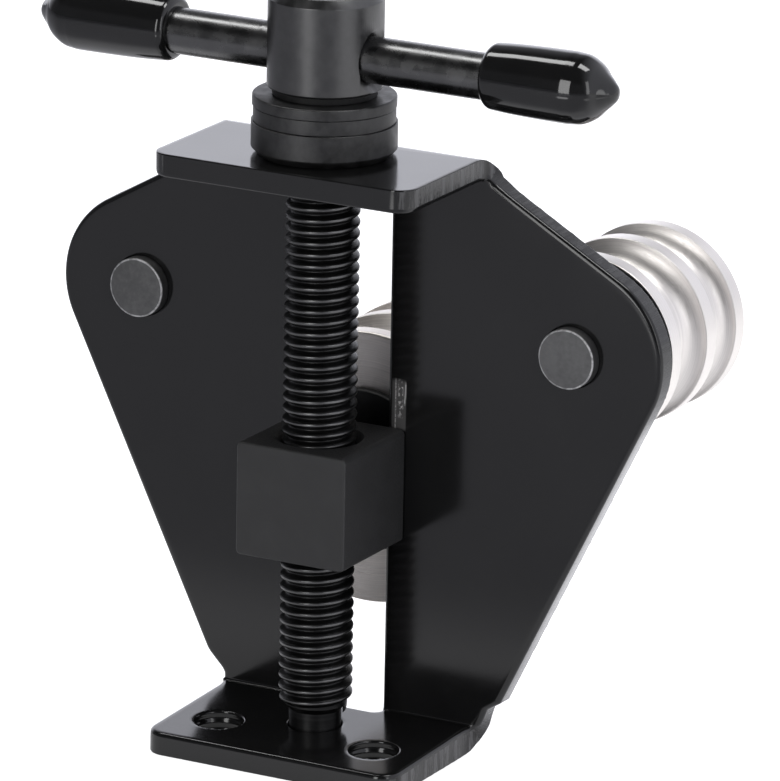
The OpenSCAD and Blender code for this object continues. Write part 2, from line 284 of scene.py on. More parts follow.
def finish_mesh(name, bm, mats, angle=SHARP_DEGREES):
    """Turns a bmesh in millimetres into an object in metres with smooth shading."""
    bmesh.ops.remove_doubles(bm, verts=bm.verts, dist=WELD)
    bmesh.ops.recalc_face_normals(bm, faces=bm.faces)
    bmesh.ops.scale(bm, vec=(MM, MM, MM), verts=bm.verts)
    mesh = bpy.data.meshes.new(name)
    bm.to_mesh(mesh)
    bm.free()
    for mat in mats:
        mesh.materials.append(mat)
    mesh.shade_smooth()
    mesh.set_sharp_from_angle(angle=math.radians(angle))
    obj = bpy.data.objects.new(name, mesh)
    bpy.context.scene.collection.objects.link(obj)
    return weigh(obj)


def bridge(bm, rings):
    """Faces between closed rings of points, one row of faces for each pair of rings."""
    count = len(rings[0])
    rows = []
    for low, high in zip(rings, rings[1:]):
        row = []
        for i in range(count):
            j = (i + 1) % count
            row.append(bm.faces.new((low[i], low[j], high[j], high[i])))
        rows.append(row)
    return rows


def lathe(name, profile, axis, origin, mats, segs=96, push=None, index=None, angle=SHARP_DEGREES):
    """Turns a profile of (radius, distance along the axis) about an axis through origin."""
    bm = bmesh.new()
    turn = AXES[axis]
    base = Vector(origin)
    rings = []
    for r, s in profile:
        if r < TINY:
            rings.append([bm.verts.new(base + turn @ Vector((0, 0, s)))])
            continue
        ring = []
        for i in range(segs):
            a = 2 * math.pi * i / segs
            grown = r + (push(a, s) if push else 0)
            p = turn @ Vector((grown * math.cos(a), grown * math.sin(a), s))
            ring.append(bm.verts.new(base + p))
        rings.append(ring)
    for k in range(len(rings) - 1):
        lower = rings[k]
        upper = rings[k + 1]
        if len(lower) == 1 and len(upper) == 1:
            continue
        for i in range(segs):
            j = (i + 1) % segs
            if len(lower) == 1:
                face = bm.faces.new((lower[0], upper[i], upper[j]))
            elif len(upper) == 1:
                face = bm.faces.new((lower[i], upper[0], lower[j]))
            else:
                face = bm.faces.new((lower[i], upper[i], upper[j], lower[j]))
            if index:
                face.material_index = index(profile[k], profile[k + 1])
    return finish_mesh(name, bm, mats, angle)


def cut(obj, cutters):
    """Cuts the cutters out of an object and deletes them."""
    obj.modifiers.clear()
    for cutter in cutters:
        mod = obj.modifiers.new("cut", "BOOLEAN")
        mod.operation = "DIFFERENCE"
        mod.solver = "EXACT"
        mod.object = cutter
    graph = bpy.context.evaluated_depsgraph_get()
    mesh = bpy.data.meshes.new_from_object(obj.evaluated_get(graph))
    obj.modifiers.clear()
    old = obj.data
    obj.data = mesh
    bpy.data.meshes.remove(old)
    for cutter in cutters:
        data = cutter.data
        bpy.data.objects.remove(cutter)
        bpy.data.meshes.remove(data)
    obj.data.shade_smooth()
    obj.data.set_sharp_from_angle(angle=math.radians(SHARP_DEGREES))
    return weigh(obj)


def dress(obj, body, slot, *replaced):
    """Rides a piece on its body and hides the solids it stands for; slot, its finish, is not used."""
    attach(obj, body)
    if replaced:
        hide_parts(*replaced)


# Material helpers

class Nodes:
    """Short names for building the nodes of one material or world."""

    def __init__(self, owner, place="Object"):
        owner.use_nodes = True
        self.owner = owner
        self.tree = owner.node_tree
        self.coord = self.new("TexCoord").outputs[place]

    def new(self, kind):
        return self.tree.nodes.new("ShaderNode" + kind)

    def link(self, value, socket):
        """Links a socket to an output, or sets it to a constant."""
        if hasattr(value, "links"):
            self.tree.links.new(value, socket)
        else:
            socket.default_value = value

    def math(self, op, a, b=0.0):
        n = self.new("Math")
        n.operation = op
        self.link(a, n.inputs[0])
        self.link(b, n.inputs[1])
        return n.outputs[0]

    def times(self, a, b):
        return self.math("MULTIPLY", a, b)

    def plus(self, a, b):
        return self.math("ADD", a, b)

    def weighted(self, a, share_a, b, share_b):
        """Two values added, each times its share."""
        return self.plus(self.times(a, share_a), self.times(b, share_b))

    def most(self, *values):
        """The largest of several values."""
        out = values[0]
        for value in values[1:]:
            out = self.math("MAXIMUM", out, value)
        return out

    def apart(self, x, y, centre):
        """Distance in a plane from a centre, in metres."""
        u = self.math("SUBTRACT", x, centre[0])
        v = self.math("SUBTRACT", y, centre[1])
        return self.math("SQRT", self.plus(self.times(u, u), self.times(v, v)))

    def xyz(self):
        n = self.new("SeparateXYZ")
        self.link(self.coord, n.inputs[0])
        return n.outputs[0], n.outputs[1], n.outputs[2]

    def join(self, x, y, z):
        n = self.new("CombineXYZ")
        for value, socket in zip((x, y, z), n.inputs):
            self.link(value, socket)
        return n.outputs[0]

    def stretch(self, sx, sy, sz):
        n = self.new("Mapping")
        n.inputs["Scale"].default_value = (sx, sy, sz)
        self.link(self.coord, n.inputs["Vector"])
        return n.outputs[0]

    def noise(self, scale, detail=3.0, rough=0.55, vector=None):
        n = self.new("TexNoise")
        n.inputs["Scale"].default_value = scale
        n.inputs["Detail"].default_value = detail
        n.inputs["Roughness"].default_value = rough
        self.link(vector or self.coord, n.inputs["Vector"])
        return n.outputs[0]

    def ramp(self, value, lo, hi, out_lo=0.0, out_hi=1.0):
        n = self.new("MapRange")
        n.interpolation_type = "SMOOTHSTEP"
        self.link(value, n.inputs[0])
        for socket, number in zip(n.inputs[1:5], (lo, hi, out_lo, out_hi)):
            socket.default_value = number
        return n.outputs[0]

    def band(self, value, lo, hi, soft):
        """1 between two places in millimetres and 0 beyond them, with soft ends."""
        up = self.ramp(value, (lo - soft) * MM, (lo + soft) * MM)
        down = self.ramp(value, (hi - soft) * MM, (hi + soft) * MM, 1.0, 0.0)
        return self.times(up, down)

    def mix(self, factor, a, b):
        n = self.new("Mix")
        n.data_type = "RGBA"
        self.link(factor, n.inputs[0])
        self.link(a, n.inputs[6])
        self.link(b, n.inputs[7])
        return n.outputs[2]

    def bump(self, height, strength, depth):
        """A normal from a height; depth is in millimetres."""
        n = self.new("Bump")
        n.inputs["Strength"].default_value = strength
        n.inputs["Distance"].default_value = depth * MM
        self.link(height, n.inputs["Height"])
        return n.outputs[0]

    def set(self, **sockets):
        """Sets the surface's sockets, with _ for each blank in their names."""
        surface = self.tree.nodes["Principled BSDF"]
        for key, value in sockets.items():
            self.link(value, surface.inputs[key.replace("_", " ")])
        return self.owner


def material_nodes(name):
    """The nodes of a new material."""
    return Nodes(bpy.data.materials.new(name))


def grey(v, warm=0.0):
    """A grey, or a slightly warm one."""
    return (v * (1 + warm), v, v * (1 - warm), 1.0)


# Materials

def paint_material():
    """Semi-gloss black coat with faint orange peel and the scuffs that the block leaves by the slot."""
    n = material_nodes("black_coat")
    x, y, z = n.xyz()
    side = n.math("ABSOLUTE", x)
    peel = n.noise(1500.0, 2.0)
    blot = n.noise(130.0)
    grain = n.noise(1.0, 3.0, 0.6, n.stretch(2600, 100, 1900))
    wander = n.plus(side, n.times(n.noise(500.0, 1.0), 0.3 * MM))
    faint = n.times(n.band(side, 4.90, 6.60, 0.10), 0.10)
    line = n.times(n.band(side, 5.26, 5.42, 0.05), n.ramp(grain, 0.38, 0.52, 0.35, 0.9))
    outer = n.times(n.band(wander, 6.56, 6.74, 0.05), n.band(z, 38.0, 40.4, 0.3))
    middle = n.times(n.band(side, 5.62, 6.25, 0.12), n.band(z, 36.6, 40.8, 0.4))
    scuff = n.most(line, n.times(middle, n.ramp(grain, 0.46, 0.58)), outer, faint)
    tall = n.band(z, 35.2, 40.6, 0.3)
    front = n.ramp(y, (PLATE_Y + 0.03) * MM, (PLATE_Y + 0.27) * MM, 1.0, 0.0)
    wear = n.times(n.times(scuff, tall), front)
    dust = n.ramp(n.noise(5200.0, 1.0), 0.70, 0.76, 0.0, 0.35)
    clean = n.mix(blot, grey(0.005), grey(0.009))
    dusty = n.mix(dust, clean, grey(0.03))
    rough = n.plus(n.ramp(blot, 0.3, 0.7, 0.13, 0.17), n.times(wear, 0.15))
    height = n.plus(peel, n.times(wear, -1.5))
    n.set(Base_Color=n.mix(wear, dusty, grey(0.75, 0.02)), Roughness=rough, Metallic=n.times(wear, 0.9))
    return n.set(Normal=n.bump(height, 0.16, 0.010), Specular_IOR_Level=0.5)


def edge_material(name, scale, dark, light, depth, bare=0.0):
    """Punched sheet edge: shear streaks that run across the thickness, burnished low on the plate."""
    n = material_nodes(name)
    _, y, z = n.xyz()
    streak = n.noise(1.0, 4.0, 0.65, n.stretch(*scale))
    fine = n.noise(2600.0, 2.0)
    colour = n.mix(n.ramp(streak, 0.42, 0.68), grey(dark), grey(light))
    if bare:
        rubbed = n.times(n.band(z, 5.0, 40.0, 2.5), bare)
        rear = n.ramp(y, (PLATE_Y + 0.37) * MM, (PLATE_Y + 1.87) * MM, 0.0, 0.6)
        steel = n.mix(n.plus(rear, n.times(streak, 0.5)), grey(0.22), grey(0.62))
        colour = n.mix(rubbed, colour, steel)
        n.set(Metallic=rubbed)
    n.set(Base_Color=colour, Roughness=n.ramp(streak, 0.3, 0.7, 0.15, 0.36), Specular_IOR_Level=0.5)
    return n.set(Normal=n.bump(n.plus(streak, n.times(fine, 0.2)), 0.3, depth))


def turned_material(name, axis, centre, base, rough, lines=0.3, tint=0.0, spread=0.25):
    """Turned metal: fine tool rings about the y or z axis, with slow tone changes."""
    n = material_nodes(name)
    x, y, z = n.xyz()
    u, v, along = (x, z, y) if axis == "y" else (x, y, z)
    radius = n.apart(u, v, (centre[0] * MM, centre[1] * MM))
    rings_per_metre = 9000.0
    ring = n.noise(1.0, 3.0, 0.6, n.join(n.times(radius, rings_per_metre),
                                         n.times(along, rings_per_metre), 0.0))
    slow = n.noise(90.0, 2.0)
    grit = n.noise(4200.0, 2.0)
    tone = n.ramp(n.weighted(ring, 0.6, slow, 0.4), 0.3, 0.7)
    colour = n.mix(tone, grey(base * (1 - spread), tint), grey(base * (1 + spread * 0.6), tint))
    dull = n.ramp(n.weighted(ring, 0.5, grit, 0.5), 0.3, 0.7, rough * 0.8, rough * 1.2)
    n.set(Base_Color=colour, Roughness=dull, Metallic=1.0)
    return n.set(Normal=n.bump(n.weighted(ring, 0.8, grit, 0.3), lines, 0.012))


def grained_material(name, base, rough, scale, metal, strength=0.35, depth=0.01, spread=0.3):
    """Oxide or phosphate finish: even grain with soft mottling."""
    n = material_nodes(name)
    grain = n.noise(scale, 3.0, 0.6)
    mottle = n.noise(scale * 0.06)
    tone = n.ramp(n.weighted(grain, 0.5, mottle, 0.5), 0.3, 0.7)
    n.set(Base_Color=n.mix(tone, grey(base * (1 - spread)), grey(base * (1 + spread))), Metallic=metal)
    n.set(Roughness=n.ramp(grain, 0.3, 0.7, rough * 0.85, rough * 1.15))
    return n.set(Normal=n.bump(grain, strength, depth))


def pin_material():
    """Oxide steel with a painted highlight, a bright broken line, around the sheared end."""
    n = material_nodes("pin_oxide_and_painted_highlight")
    x, _, z = n.xyz()
    radius = n.apart(n.math("ABSOLUTE", x), z, (PIN_X * MM, PIN_Z * MM))
    ring = n.band(radius, PIN_R - 0.20, PIN_R - 0.03, 0.03)
    grain = n.noise(1500.0, 3.0, 0.6)
    mottle = n.noise(160.0)
    tone = n.ramp(n.weighted(grain, 0.4, mottle, 0.6), 0.3, 0.7)
    # A bright broken ring painted round the sheared end: its edge highlight.
    painted_highlight_ring = n.times(ring, n.ramp(grain, 0.35, 0.6, 0.35, 1.0))
    colour = n.mix(painted_highlight_ring, n.mix(tone, grey(0.10), grey(0.16)), grey(0.55))
    n.set(Base_Color=colour, Roughness=0.5, Metallic=0.8)
    return n.set(Normal=n.bump(grain, 0.4, 0.01))


def vinyl_material():
    """Glossy dip-moulded vinyl with a slightly uneven skin."""
    n = material_nodes("dipped_vinyl")
    swell = n.noise(160.0, 2.0)
    skin = n.noise(1400.0, 2.0)
    colour = n.mix(swell, grey(0.006), grey(0.010))
    n.set(Base_Color=colour, Roughness=n.ramp(skin, 0.3, 0.7, 0.07, 0.11))
    return n.set(Normal=n.bump(n.weighted(swell, 2.0, skin, 0.08), 0.22, 0.08), Specular_IOR_Level=0.55)


def roller_material(side):
    """Bright nickel of one side roller, with its rings about that roller's pin."""
    centre = (ROLLER_SIDES[side], PIN_Z)
    return turned_material("nickel_" + side, "y", centre, 0.80, 0.42, 0.10, tint=0.040, spread=0.14)


coat = paint_material()
plate_edge = edge_material("plate_edge", (1700, 160, 1700), 0.010, 0.030, 0.03, bare=0.8)
flange_edge = edge_material("flange_edge", (1300, 1300, 140), 0.006, 0.11, 0.18)
nickel_former = turned_material("nickel_former", "y", (0, BLOCK_Z), 0.84, 0.50, 0.10, 0.05, 0.18)
screw_black = turned_material("screw_oxide", "z", (0, SCREW_Y), 0.040, 0.42, 0.10)
# Lighter copy of the screw's oxide: a painted highlight on the thread crests.
screw_crest_painted_highlight = turned_material("screw_crest_painted_highlight", "z", (0, SCREW_Y), 0.14, 0.34, 0.25, spread=0.5)
pin_axle = turned_material("axle_oxide", "y", (0, BLOCK_Z), 0.06, 0.4)
hub_steel = grained_material("hub_oxide", 0.098, 0.36, 700.0, 1.0, strength=0.05, spread=0.14)
# Near black with no gloss: painted shade for the boss under the hub.
boss_painted_shade = grained_material("hub_boss_painted_shade", 0.005, 0.6, 2500.0, 0.0)
washer_steel = grained_material("washer_oxide", 0.062, 0.46, 900.0, 0.9, 0.5, 0.02, 0.35)
bar_steel = grained_material("bar_oxide", 0.12, 0.27, 500.0, 1.0, strength=0.06, spread=0.16)
pin_steel = pin_material()
block_black = grained_material("block_oxide", 0.024, 0.55, 5200.0, 0.0, strength=0.4, spread=0.2)
washer_black = grained_material("guide_oxide", 0.012, 0.45, 4200.0, 0.0)
# Dark material: painted shade on the roller faces in the gap by the plate.
roller_face_painted_shade = grained_material("roller_face_painted_shade", 0.05, 0.4, 1500.0, 0.6)
spring_black = grained_material("spring_phosphate", 0.05, 0.45, 4200.0, 0.6)
vinyl = vinyl_material()


# Frame, drawn on the flat sheet (x across, s along it from the upper front edge) and then folded

FOLD_RUN = (FOLD_R + SHEET / 2) * math.pi / 2
PLATE_TOP = SHELF_Z - FOLD_R
PLATE_LOW = SHEET + FOLD_R
S_FOLD_TOP = PLATE_Y - FOLD_R - TOP_FRONT
S_PLATE = S_FOLD_TOP + FOLD_RUN
S_FOLD_LOW = S_PLATE + PLATE_TOP - PLATE_LOW
S_BASE = S_FOLD_LOW + FOLD_RUN
S_END = S_BASE + PLATE_Y - FOLD_R - BASE_FRONT
FOLDS = ((S_FOLD_TOP, TOP_FOLD_OUT), (S_FOLD_LOW, BASE_FOLD_OUT))
SLOT_END = S_BASE + SLOT_TAIL - FOLD_R
TILT_FROM = 5.0
TILT_FULL = 2.6
TILT_THINNING = 0.8
BULGE_FROM = 11
BULGE_RUN = 4
BULGE_INNER = 0.45
BULGE_OUTER = 0.95
TEAR = 0.022
FACE_GUARD = 0.4
MERGE = 1e-7
RIM_STEPS = 5
LIP = 0.2
BURR = 0.12
OUTLINE_ROLL = (0.62, 0.5, 0.14)
SLOT_ROLL = (0.5, 0.4, 0.14)
RIDGE_STEPS = 19
# The outline, the slot and the two pin holes come first and show their punched edges
PUNCHED_LOOPS = 4


def plate_s(z):
    """Place along the flat sheet of a height on the plate."""
    return S_PLATE + PLATE_TOP - z


def bent(s):
    """Depth and height of the sheet's inner face at a place along the flat sheet."""
    if s <= S_FOLD_TOP:
        return Vector((TOP_FRONT + s, SHELF_Z))
    if s < S_PLATE:
        a = math.pi / 2 * (1 - (s - S_FOLD_TOP) / FOLD_RUN)
        return Vector((PLATE_Y - FOLD_R + FOLD_R * math.cos(a), PLATE_TOP + FOLD_R * math.sin(a)))
    if s <= S_FOLD_LOW:
        return Vector((PLATE_Y, PLATE_TOP - (s - S_PLATE)))
    if s < S_BASE:
        a = -math.pi / 2 * (s - S_FOLD_LOW) / FOLD_RUN
        return Vector((PLATE_Y - FOLD_R + FOLD_R * math.cos(a), PLATE_LOW + FOLD_R * math.sin(a)))
    return Vector((PLATE_Y - FOLD_R - (s - S_BASE), SHEET))


def fold_span(start, outer):
    """Where along the flat sheet the outside of a fold begins and how far it runs."""
    spare = outer - SHEET - FOLD_R
    return start - spare, FOLD_RUN + 2 * spare


def square_fold(x, s, depth):
    """A point of the flat sheet, at a depth below its inner face, with both folds square."""
    inner = bent(s)
    share = depth / SHEET
    for begin, r in FOLDS:
        high = begin == S_FOLD_TOP
        start, span = fold_span(begin, r)
        u = (s - start) / span
        if not 0 < u < 1:
            continue
        a = math.pi / 2 * (1 - u if high else -u)
        centre = FRAME_H - r if high else r
        outer = Vector((PLATE_BACK - r + r * math.cos(a), centre + r * math.sin(a)))
        near_end = max(0.0, min(1.0, (abs(x) - BULGE_FROM) / BULGE_RUN))
        swell = math.sin(math.pi * u) ** 2 * near_end
        x += math.copysign(swell * (BULGE_INNER - BULGE_OUTER * share), x)
        place = inner.lerp(outer, share)
        return Vector((x, place.x, place.y))
    if s <= S_FOLD_TOP:
        return Vector((x, inner.x, inner.y + depth))
    if s < S_BASE:
        return Vector((x, inner.x + depth, inner.y))
    return Vector((x, inner.x, inner.y - depth))


def fold(x, s, depth):
    """A point of the flat sheet in its folded place; the base was folded a little short of square."""
    p = square_fold(x, s, depth)
    lift = BASE_TILT * (p.y - BASE_FRONT) * ease(p.z, TILT_FROM, TILT_FULL)
    p.z += lift * (1 - TILT_THINNING * depth / SHEET)
    return p


def half_outline(foot_line, foot_round, flange, shoulder_r, wider):
    """Right half of the flat outline from the top flange's front middle to the base's."""
    centre = (PIN_X, PIN_Z)
    top = (flange + wider, SHELF_Z)
    corner = FLANGE_CORNER
    _, a_low = touch(FOOT, centre, shoulder_r, 1)
    high, a_high = touch(top, centre, shoulder_r, -1)
    slope = (high[0] - top[0]) / (top[1] - high[1])
    half = [(0, 0)] + arc(flange - corner, corner, corner, -90, 0, 8)
    half += [(flange, S_FOLD_TOP + 0.4 * FOLD_RUN), (flange + wider + slope * FOLD_R, S_PLATE)]
    shoulder = arc(*centre, shoulder_r, a_high, a_low, 28)
    half += [(x, plate_s(z)) for x, z in shoulder]
    foot = fillet([shoulder[-1], FOOT] + foot_line, foot_round, 6)
    half += [(x, plate_s(z)) for x, z in foot[1:]]
    half.append((BASE_HALF, S_FOLD_LOW + 0.7 * FOLD_RUN))
    half += arc(BASE_HALF - corner, S_END - corner, corner, 0, 90, 8)
    half.append((0, S_END))
    return dense(half)


def frame_outline():
    """Flat outline; the foot is torn at the right and smooth at the left, as the punch left it."""
    torn_foot = [(16.5, 5.2), (15.85, PLATE_LOW + 0.3)]
    smooth_foot = [(16.45, 4.5), (15.6, PLATE_LOW)]
    right = half_outline(torn_foot, [0.35, 0.8], FLANGE_HALF, SHOULDER_R, 0.0)
    left = half_outline(smooth_foot, [3.0, 2.0], FLANGE_HALF + 0.15, SHOULDER_R + 0.1, 0.5)

    def shifted(x, s):
        below_top = ease(s, S_FOLD_TOP + 0.2 * FOLD_RUN, S_PLATE)
        above_base = ease(s, S_FOLD_LOW + 0.6 * FOLD_RUN, S_FOLD_LOW - 1.0)
        return (x + PLATE_SHIFT * below_top * above_base, s)

    return [shifted(x, s) for x, s in right + [(-x, s) for x, s in reversed(left[1:-1])]]


def slot_outline():
    """Flat outline of the guide slot, which runs through the lower fold."""
    loop = rounded_box(-SLOT_HALF, plate_s(SLOT_HIGH), SLOT_HALF, SLOT_END, SLOT_CORNER)
    return dense(loop + loop[:1])[:-1]


def edge_rows(width, drop, burr):
    """Insets and depths down a punched edge: a rolled front, a straight side and a broken burr."""
    rolled = quarter(width, drop, RIM_STEPS)
    return rolled + [(w, SHEET - d) for w, d in reversed(quarter(burr, burr, RIM_STEPS))]


def tapped_rows():
    """Insets and depths down a tapped hole."""
    plain = edge_rows(LIP, LIP, BURR)
    ridges = []
    for k in range(1, RIDGE_STEPS):
        d = (SHEET - LIP - BURR) * k / RIDGE_STEPS
        ridges.append((RIDGE * (0.5 - 0.5 * math.cos(2 * math.pi * d / RIDGE_PITCH)), LIP + d))
    return plain[:RIM_STEPS + 1] + ridges + plain[RIM_STEPS + 1:]


def frame_loops():
    """The flat outline, which runs counter-clockwise, and the holes, which do not, with their edges."""
    base_s = S_END + BASE_FRONT
    plain = edge_rows(LIP, LIP, BURR)
    loops = [(frame_outline(), edge_rows(*OUTLINE_ROLL)), (slot_outline(), edge_rows(*SLOT_ROLL))]
    loops += [(circle(x, plate_s(PIN_Z), PIN_R), plain) for x in ROLLER_SIDES.values()]
    loops += [(circle(x, base_s, BENCH_HOLE_R), tapped_rows()) for x in (-BENCH_HOLE_X, BENCH_HOLE_X)]
    loops.append((circle(0, SCREW_Y - TOP_FRONT, SCREW_R + FIT), plain))
    loops.append((circle(0, base_s - SCREW_Y, FOOT_JOURNAL_R + 0.08), plain))
    for i, (loop, _) in enumerate(loops):
        if (area(loop) > 0) != (i == 0):
            loop.reverse()
    return loops


def ragged(loop, amount, depth, outer):
    """The loop moved inwards, with the small tears of a punched edge on its burr side."""
    moved = inset(loop, amount)
    if not outer:
        return moved
    share = (depth / SHEET) ** 2
    out = []
    for p, (x, s) in zip(moved, loop):
        keep = 0.35 if s < S_FOLD_TOP else 0.65 if s > S_BASE else 1.0
        along = x * 1.3 + s * 1.7
        wave = math.sin(along * 2.3) + math.sin(along * 5.1 + 1.0) + 0.7 * math.sin(along * 11.3 + x)
        shift = TEAR * share * wave
        out.append((x + (p[0] - x) * keep + math.copysign(shift, x), s + (p[1] - s) * keep + shift * 0.5))
    return out


def crosses_slot(s):
    """True where a line across the sheet would run through the guide slot."""
    return plate_s(SLOT_HIGH) - 0.7 < s < SLOT_END + 0.3


def fold_lines(loop, slot):
    """Pairs of points to join across the sheet so that its faces follow the folds."""
    count = len(loop)
    pairs = []
    used = set()
    zones = [fold_span(start, r) for start, r in FOLDS]
    places = list(enumerate(loop))
    for i, (x, s) in places:
        bent_here = any(-TINY <= s - start <= span + TINY for start, span in zones)
        if abs(x) < 1 or not bent_here:
            continue
        if crosses_slot(s):
            others = [(count + j, q) for j, q in enumerate(slot) if q[0] * x > 0]
        elif x > 0:
            others = [(j, q) for j, q in places if q[0] < -1]
        else:
            continue
        mate, q = min(others, key=lambda item: abs(item[1][1] - s))
        if mate not in used and abs(q[1] - s) < 0.4:
            used.add(mate)
            pairs.append((i, mate))
    return pairs


def sheet_side(bm, loops, row, depth):
    """One side of the sheet between its edges, meshed flat along the folds and then folded."""
    points = []
    edges = []

    def add_loop(loop):
        first = len(points)
        count = len(loop)
        points.extend(Vector(p) for p in loop)
        edges.extend((first + i, first + (i + 1) % count) for i in range(count))

    shrunk = [ragged(loop, rows[row][0], depth, i == 0) for i, (loop, rows) in enumerate(loops)]
    for loop in shrunk:
        add_loop(loop)
    edges += fold_lines(loops[0][0], shrunk[1])
    for loop in shrunk:
        add_loop(inset(loop, FACE_GUARD))
    places, _, triangles = delaunay_2d_cdt(points, edges, [], 0, MERGE)[:3]
    made = [bm.verts.new(fold(p.x, p.y, depth)) for p in places]
    for tri in triangles:
        middle = sum((places[i] for i in tri), Vector((0, 0))) / len(tri)
        if inside(middle, shrunk[0]) and not any(inside(middle, hole) for hole in shrunk[1:]):
            bm.faces.new([made[i] for i in tri])


def build_frame():
    """The folded sheet: its two sides, and the edges of its outline and holes."""
    loops = frame_loops()
    bm = bmesh.new()
    sheet_side(bm, loops, 0, 0.0)
    sheet_side(bm, loops, -1, SHEET)
    for number, (loop, rows) in enumerate(loops):
        rings = []
        for amount, depth in rows:
            moved = ragged(loop, amount, depth, number == 0)
            rings.append([bm.verts.new(fold(x, s, depth)) for x, s in moved])
        straight = bridge(bm, rings)[RIM_STEPS]
        if number >= PUNCHED_LOOPS:
            continue
        for (x, s), face in zip(loop, straight):
            on_plate = S_FOLD_TOP + FOLD_RUN / 2 < s < S_FOLD_LOW + FOLD_RUN / 2
            at_front = abs(x) < BASE_HALF - 1.2
            face.material_index = 1 if on_plate else 0 if at_front else 2
    obj = finish_mesh("frame_sheet", bm, [coat, plate_edge, flange_edge], 30)
    dress(obj, "frame", "black_paint", "frame")


# Lead screw with its true helix

def build_thread():
    """One tooth section swept along the helix, with a painted highlight in a lighter material on its
    crests.
    """
    segs = 48
    tooth_steps = 17
    crest_from = 0.96
    section = []
    for k in range(tooth_steps + 1):
        t = k / tooth_steps
        rise = 0.5 - 0.5 * math.cos(2 * math.pi * t)
        section.append((t * PITCH, 1 - (1 - rise) ** 1.5))
    steps = THREAD_TURNS * segs
    bm = bmesh.new()
    rows = []
    for i in range(steps + 1):
        a = 2 * math.pi * i / segs
        z = THREAD_LOW + PITCH * i / segs
        ends = min(1.0, i / (0.7 * segs), (steps - i) / (0.4 * segs))
        row = []
        for dz, h in section:
            r = SCREW_R - THREAD_DEPTH + THREAD_DEPTH * h * ends
            row.append(bm.verts.new((r * math.cos(a), SCREW_Y + r * math.sin(a), z + dz - PITCH / 2)))
        rows.append(row)
    for low, high in zip(rows, rows[1:]):
        for k in range(tooth_steps):
            face = bm.faces.new((low[k], high[k], high[k + 1], low[k + 1]))
            # Faces at the crest take the lighter material, the painted highlight.
            face.material_index = int((section[k][1] + section[k + 1][1]) / 2 > crest_from)
    thread = finish_mesh("lead_screw_thread", bm, [screw_black, screw_crest_painted_highlight], 60)
    dress(thread, "screw", "oxide_steel", "lead_screw")


def build_screw_core():
    """Turned core of the screw, from its flared foot to the journal in the hub."""
    foot = 0.15
    core_r = SCREW_R - THREAD_DEPTH - 0.02
    neck = STACK_Z - 0.02
    line = [(0, foot), (FOOT_JOURNAL_R + 0.7, foot), (FOOT_JOURNAL_R, foot + 0.9),
            (FOOT_JOURNAL_R, THREAD_LOW - 0.5), (core_r, THREAD_LOW + 0.1), (core_r, THREAD_TOP - 0.5),
            (SCREW_R, THREAD_TOP + 0.3), (SCREW_R, neck), (HUB_JOURNAL_R, neck),
            (HUB_JOURNAL_R, HUB_Z + 1), (0, HUB_Z + 1)]
    profile = fillet(line, [0.1, 0.1, 0.15, 0.1, 0.1, 0.1, 0.1, 0.0, 0.0], 3)
    core = lathe("lead_screw_core", profile, "z", (0, SCREW_Y, 0), [screw_black], 72)
    dress(core, "screw", "oxide_steel")


# Washers, hub, bar and grips

def washer_profile(r, hole, t, low, high):
    """Section of a washer with its rim bevelled by low underneath and by high on top."""
    bevel = 0.15
    line = [(hole, bevel), (hole + bevel, 0.0), (r - low, 0.0), (r, low), (r, t - high), (r - high, t),
            (hole + bevel, t), (hole, t - bevel), (hole, bevel)]
    soft = [0.05, min(0.2, low), min(0.3, low), min(0.2, high), min(0.2, high), 0.05, 0.05]
    return fillet(line, soft)


def build_stack():
    """Thrust washers, each with the slightly uneven rim of a blanked part."""
    z = FRAME_H
    rows = (("lower", 7.8, 0.75, 0.06, "frame", 0.05, 1.0),
            ("middle", 7.6, 0.06, 0.06, "screw", 0.025, 2.4),
            ("upper", 7.7, 0.06, 0.12, "screw", 0.025, 4.1))
    for t, (place, r, low, high, body, rough, phase) in zip(WASHER_T, rows):
        def uneven(a, s):
            wave = math.sin(3 * a + phase) + 0.6 * math.sin(7 * a + 2 * phase)
            wave += 0.4 * math.sin(17 * a + s)
            return rough * wave * (0.4 if s > 1 else 1.0)

        node = "thrust_washer_" + place
        profile = washer_profile(r, SCREW_R + FIT, t, low, high)
        obj = lathe(node + "_turned", profile, "z", (0, SCREW_Y, z), [washer_steel], 160, push=uneven)
        dress(obj, body, "oxide_steel", node)
        z += t


def build_hub():
    """Round hub on its boss, which is painted near black as the shade under the hub, with a countersunk
    hole for the bar.
    """
    r = HUB_R
    back = HUB_TOP - 2
    line = [(HUB_JOURNAL_R, STACK_Z), (BOSS_R, STACK_Z), (BOSS_R, HUB_Z), (r, HUB_Z), (r, HUB_TOP - 0.9),
            (r - 0.63, HUB_TOP), (0, HUB_TOP), (0, back), (HUB_JOURNAL_R, back), (HUB_JOURNAL_R, STACK_Z)]

    # The boss's faces take the painted shade.
    def on_boss(p, q):
        return int(max(p[1], q[1]) < HUB_Z + 0.02)

    hub = lathe("handle_hub_turned", fillet(line, [0.1, 0.1, 0.3, 0.2, 0.2, 0, 0, 0]), "z",
                (0, SCREW_Y, 0), [hub_steel, boss_painted_shade], 128, index=on_boss)
    hole = BAR_R + 0.02
    flare = 3.6
    beyond = 12
    mouth = [(0, -beyond), (flare, -beyond), (flare, -r - 0.05), (hole, -r + 0.95),
             (hole, r - 0.95), (flare, r + 0.05), (flare, beyond), (0, beyond)]
    cutter = lathe("hub_cutter", mouth, "x", (0, SCREW_Y, BAR_Z), [hub_steel], 64)
    dress(cut(hub, [cutter]), "screw", "oxide_steel", "handle_hub")


